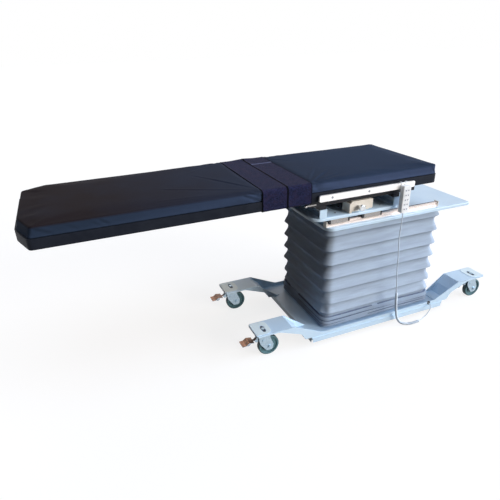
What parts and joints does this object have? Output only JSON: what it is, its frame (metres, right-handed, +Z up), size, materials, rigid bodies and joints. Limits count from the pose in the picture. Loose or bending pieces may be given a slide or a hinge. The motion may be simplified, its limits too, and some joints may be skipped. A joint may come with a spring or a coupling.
{
  "type": "radiography table",
  "caption": "Mobile imaging table: cantilevered float top with mattress and straps on a bellows covered telescopic column over a caster base with braked wheels.",
  "frame": {"origin": "floor level, in the middle of the whole table's footprint at rest", "axes": "+X along the tabletop towards the foot end, over the long side of the base; +Y to the far side, away from the side that carries the handset; +Z up"},
  "size_m": [2.6784, 0.7122, 0.9845],
  "materials": {
    "base_metal": "satin powder coat",
    "body_blue": "satin powder coat",
    "zinc": "bright zinc plate",
    "pedal_chrome": "polished chrome plate",
    "wheel_rubber": "moulded grey rubber",
    "column_tube": "ground and painted steel tube",
    "glide_nylon": "moulded nylon",
    "motor_metal": "semi gloss enamel",
    "control_case": "satin enamel",
    "bellows_cloth": "coated folding cloth",
    "rail_steel": "ground rail steel",
    "rail_stop": "moulded end stop",
    "block_steel": "machined block",
    "wiper_rubber": "moulded end wiper",
    "frame_dark": "black powder coat",
    "lock_cream": "moulded housing",
    "knob_chrome": "polished chrome plate",
    "panel_laminate": "smooth laminate",
    "mattress_vinyl": "coated upholstery cloth over foam",
    "strap_pile": "looped pile webbing",
    "stainless": "brushed stainless steel",
    "handset_shell": "fine textured moulding",
    "handset_key": "moulded keypad rubber",
    "cord_pvc": "smooth cord jacket",
    "gland_nylon": "moulded nylon"
  },
  "bodies": {
    "base": {"base_pan": "base_metal", "side_cheeks": "base_metal", "caster_arms": "base_metal", "caster_plates": "zinc", "caster_kingpins": "zinc", "column_foot": "zinc", "column_outer": "column_tube", "glide_ring_outer": "glide_nylon", "lift_motor": "motor_metal", "control_box": "control_case", "clamp_bottom": "zinc", "bellows": "bellows_cloth", "cable_gland": "gland_nylon", "cord_coil": "cord_pvc", "cord_tail": "cord_pvc"},
    "column_stage": {"column_middle": "column_tube", "glide_ring_middle": "glide_nylon"},
    "lift_platform": {"platform": "body_blue", "column_inner": "column_tube", "clamp_top": "zinc", "float_rails": "rail_steel", "rail_stops": "rail_stop"},
    "carriage": {"carriage_tray": "body_blue", "bearing_blocks": "block_steel", "block_wipers": "wiper_rubber", "cross_beams": "body_blue", "frame_risers": "frame_dark", "lock_box": "lock_cream", "support_frame": "frame_dark", "tabletop_panel": "panel_laminate", "mattress": "mattress_vinyl", "strap_head": "strap_pile", "strap_foot": "strap_pile", "accessory_rail_near": "stainless", "accessory_rail_far": "stainless", "rail_spacers": "stainless", "rail_screws": "stainless", "handset_hook": "stainless", "handset_rear_shell": "handset_shell", "handset_front_shell": "handset_shell", "cord_upper": "cord_pvc"},
    "lock_knob": {"lock_knob": "knob_chrome"},
    "swivel_near_left": {"fork_near_left": "zinc"},
    "wheel_near_left": {"wheel_near_left": "wheel_rubber"},
    "pedal_near_left": {"pedal_near_left": "pedal_chrome"},
    "swivel_far_left": {"fork_far_left": "zinc"},
    "wheel_far_left": {"wheel_far_left": "wheel_rubber"},
    "pedal_far_left": {"pedal_far_left": "pedal_chrome"},
    "swivel_near_right": {"fork_near_right": "zinc"},
    "wheel_near_right": {"wheel_near_right": "wheel_rubber"},
    "pedal_near_right": {"pedal_near_right": "pedal_chrome"},
    "swivel_far_right": {"fork_far_right": "zinc"},
    "wheel_far_right": {"wheel_far_right": "wheel_rubber"},
    "pedal_far_right": {"pedal_far_right": "pedal_chrome"},
    "key_1": {"handset_key_1": "handset_key"},
    "key_2": {"handset_key_2": "handset_key"},
    "key_3": {"handset_key_3": "handset_key"},
    "key_4": {"handset_key_4": "handset_key"},
    "key_5": {"handset_key_5": "handset_key"}
  },
  "joints": [
    {"name": "lift", "type": "slide", "parent": "base", "child": "lift_platform", "axis": [0, 0, 1], "range_m": [-0.215, 0.185], "deforming": ["bellows", "cord_upper", "cord_coil", "cord_tail"]},
    {"name": "column_stage_slide", "type": "slide", "parent": "base", "child": "column_stage", "axis": [0, 0, 1], "range_m": [-0.1075, 0.0925]},
    {"name": "float", "type": "slide", "parent": "lift_platform", "child": "carriage", "axis": [1, 0, 0], "range_m": [-0.004, 0.398]},
    {"name": "lock_turn", "type": "hinge", "parent": "carriage", "child": "lock_knob", "pos_m": [0.27475, -0.29805, 0.814], "axis": [0, -1, 0], "range_deg": [0, 90]},
    {"name": "swivel_near_left", "type": "hinge", "parent": "base", "child": "swivel_near_left", "pos_m": [-0.27525, -0.24505, 0.145], "axis": [0, 0, 1], "continuous": true},
    {"name": "roll_near_left", "type": "hinge", "parent": "swivel_near_left", "child": "wheel_near_left", "pos_m": [-0.24525, -0.24505, 0.0625], "axis": [0, 1, 0], "continuous": true},
    {"name": "brake_near_left", "type": "hinge", "parent": "swivel_near_left", "child": "pedal_near_left", "pos_m": [-0.31925, -0.24505, 0.1117], "axis": [0, -1, 0], "range_deg": [0, 12]},
    {"name": "swivel_far_left", "type": "hinge", "parent": "base", "child": "swivel_far_left", "pos_m": [-0.27525, 0.27495, 0.145], "axis": [0, 0, 1], "continuous": true},
    {"name": "roll_far_left", "type": "hinge", "parent": "swivel_far_left", "child": "wheel_far_left", "pos_m": [-0.24525, 0.27495, 0.0625], "axis": [0, 1, 0], "continuous": true},
    {"name": "brake_far_left", "type": "hinge", "parent": "swivel_far_left", "child": "pedal_far_left", "pos_m": [-0.31925, 0.27495, 0.1117], "axis": [0, -1, 0], "range_deg": [0, 12]},
    {"name": "swivel_near_right", "type": "hinge", "parent": "base", "child": "swivel_near_right", "pos_m": [1.24675, -0.24505, 0.145], "axis": [0, 0, 1], "continuous": true},
    {"name": "roll_near_right", "type": "hinge", "parent": "swivel_near_right", "child": "wheel_near_right", "pos_m": [1.27675, -0.24505, 0.0625], "axis": [0, 1, 0], "continuous": true},
    {"name": "brake_near_right", "type": "hinge", "parent": "swivel_near_right", "child": "pedal_near_right", "pos_m": [1.20275, -0.24505, 0.1117], "axis": [0, -1, 0], "range_deg": [0, 12]},
    {"name": "swivel_far_right", "type": "hinge", "parent": "base", "child": "swivel_far_right", "pos_m": [1.24675, 0.27495, 0.145], "axis": [0, 0, 1], "continuous": true},
    {"name": "roll_far_right", "type": "hinge", "parent": "swivel_far_right", "child": "wheel_far_right", "pos_m": [1.27675, 0.27495, 0.0625], "axis": [0, 1, 0], "continuous": true},
    {"name": "brake_far_right", "type": "hinge", "parent": "swivel_far_right", "child": "pedal_far_right", "pos_m": [1.20275, 0.27495, 0.1117], "axis": [0, -1, 0], "range_deg": [0, 12]},
    {"name": "key_1_rock", "type": "hinge", "parent": "carriage", "child": "key_1", "pos_m": [0.52875, -0.33695, 0.882], "axis": [1, 0, 0], "range_deg": [-4, 4], "stiffness_Nm_per_rad": 0.2},
    {"name": "key_2_rock", "type": "hinge", "parent": "carriage", "child": "key_2", "pos_m": [0.52875, -0.33695, 0.856], "axis": [1, 0, 0], "range_deg": [-4, 4], "stiffness_Nm_per_rad": 0.2},
    {"name": "key_3_rock", "type": "hinge", "parent": "carriage", "child": "key_3", "pos_m": [0.52875, -0.33695, 0.83], "axis": [1, 0, 0], "range_deg": [-4, 4], "stiffness_Nm_per_rad": 0.2},
    {"name": "key_4_rock", "type": "hinge", "parent": "carriage", "child": "key_4", "pos_m": [0.52875, -0.33695, 0.804], "axis": [1, 0, 0], "range_deg": [-4, 4], "stiffness_Nm_per_rad": 0.2},
    {"name": "key_5_rock", "type": "hinge", "parent": "carriage", "child": "key_5", "pos_m": [0.52875, -0.33695, 0.778], "axis": [1, 0, 0], "range_deg": [-4, 4], "stiffness_Nm_per_rad": 0.2}
  ],
  "couplings": [
    {"joint": "column_stage_slide", "follows": "lift", "ratio": 0.5}
  ]
}
